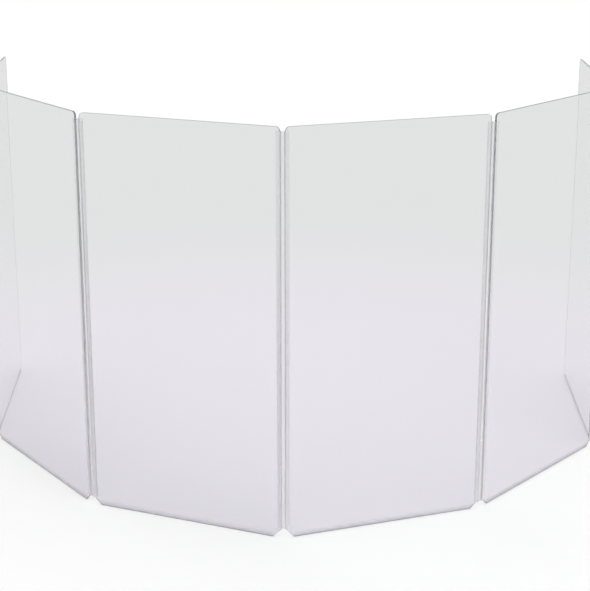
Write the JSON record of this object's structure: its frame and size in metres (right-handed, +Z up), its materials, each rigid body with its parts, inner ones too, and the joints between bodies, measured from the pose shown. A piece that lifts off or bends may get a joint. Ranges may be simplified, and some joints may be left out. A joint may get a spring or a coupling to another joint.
{
  "type": "drum shield",
  "caption": "Free-standing folding screen of clear acrylic panels joined by full-length clear flexible hinges, to shield drums on stage.",
  "frame": {"origin": "on the floor at the middle of the footprint's bounding box, as the screen stands at rest", "axes": "+Z up, -Y towards the audience, +X to the audience's right"},
  "size_m": [2.1014, 1.3146, 1.2192],
  "materials": {
    "clear_acrylic": "clear polished cast sheet",
    "rigid_clear_pvc": "clear extruded",
    "flexible_clear_pvc": "clear soft extruded"
  },
  "bodies": {
    "panel_1": {"panel_1": "clear_acrylic", "hinge_1_left_channel": "rigid_clear_pvc"},
    "panel_2": {"panel_2": "clear_acrylic", "hinge_1_right_channel": "rigid_clear_pvc", "hinge_2_left_channel": "rigid_clear_pvc"},
    "panel_3": {"panel_3": "clear_acrylic", "hinge_2_right_channel": "rigid_clear_pvc", "hinge_3_left_channel": "rigid_clear_pvc"},
    "panel_4": {"panel_4": "clear_acrylic", "hinge_3_right_channel": "rigid_clear_pvc", "hinge_4_left_channel": "rigid_clear_pvc"},
    "panel_5": {"panel_5": "clear_acrylic", "hinge_4_right_channel": "rigid_clear_pvc", "hinge_5_left_channel": "rigid_clear_pvc"},
    "panel_6": {"panel_6": "clear_acrylic", "hinge_5_right_channel": "rigid_clear_pvc"},
    "hinge_1_web": {"hinge_1_web": "flexible_clear_pvc"},
    "hinge_2_web": {"hinge_2_web": "flexible_clear_pvc"},
    "hinge_3_web": {"hinge_3_web": "flexible_clear_pvc"},
    "hinge_4_web": {"hinge_4_web": "flexible_clear_pvc"},
    "hinge_5_web": {"hinge_5_web": "flexible_clear_pvc"}
  },
  "joints": [
    {"name": "hinge_3_fold", "type": "hinge", "parent": "panel_3", "child": "panel_4", "pos_m": [-0.01925, -0.6542, 0], "axis": [0, 0, 1], "range_deg": [-122.5, 72.5]},
    {"name": "hinge_3_web_bend", "type": "hinge", "parent": "panel_3", "child": "hinge_3_web", "pos_m": [-0.01925, -0.6542, 0], "axis": [0, 0, 1], "range_deg": [-61.25, 36.25]},
    {"name": "hinge_4_fold", "type": "hinge", "parent": "panel_4", "child": "panel_5", "pos_m": [0.57647, -0.46678, 0], "axis": [0, 0, -1], "range_deg": [-92, 113]},
    {"name": "hinge_4_web_bend", "type": "hinge", "parent": "panel_4", "child": "hinge_4_web", "pos_m": [0.57647, -0.46678, 0], "axis": [0, 0, -1], "range_deg": [-46, 56.5]},
    {"name": "hinge_5_fold", "type": "hinge", "parent": "panel_5", "child": "panel_6", "pos_m": [1.01375, -0.02101, 0], "axis": [0, 0, 1], "range_deg": [-126.5, 78.5]},
    {"name": "hinge_5_web_bend", "type": "hinge", "parent": "panel_5", "child": "hinge_5_web", "pos_m": [1.01375, -0.02101, 0], "axis": [0, 0, 1], "range_deg": [-63.25, 39.25]},
    {"name": "hinge_2_fold", "type": "hinge", "parent": "panel_3", "child": "panel_2", "pos_m": [-0.60615, -0.44089, 0], "axis": [0, 0, 1], "range_deg": [-89.5, 115.5]},
    {"name": "hinge_2_web_bend", "type": "hinge", "parent": "panel_3", "child": "hinge_2_web", "pos_m": [-0.60615, -0.44089, 0], "axis": [0, 0, 1], "range_deg": [-44.75, 57.75]},
    {"name": "hinge_1_fold", "type": "hinge", "parent": "panel_2", "child": "panel_1", "pos_m": [-1.00323, 0.04112, 0], "axis": [0, 0, -1], "range_deg": [-120.5, 84.5]},
    {"name": "hinge_1_web_bend", "type": "hinge", "parent": "panel_2", "child": "hinge_1_web", "pos_m": [-1.00323, 0.04112, 0], "axis": [0, 0, -1], "range_deg": [-60.25, 42.25]}
  ],
  "couplings": [
    {"joint": "hinge_3_web_bend", "follows": "hinge_3_fold", "ratio": 0.5},
    {"joint": "hinge_4_web_bend", "follows": "hinge_4_fold", "ratio": 0.5},
    {"joint": "hinge_5_web_bend", "follows": "hinge_5_fold", "ratio": 0.5},
    {"joint": "hinge_2_web_bend", "follows": "hinge_2_fold", "ratio": 0.5},
    {"joint": "hinge_1_web_bend", "follows": "hinge_1_fold", "ratio": 0.5}
  ]
}
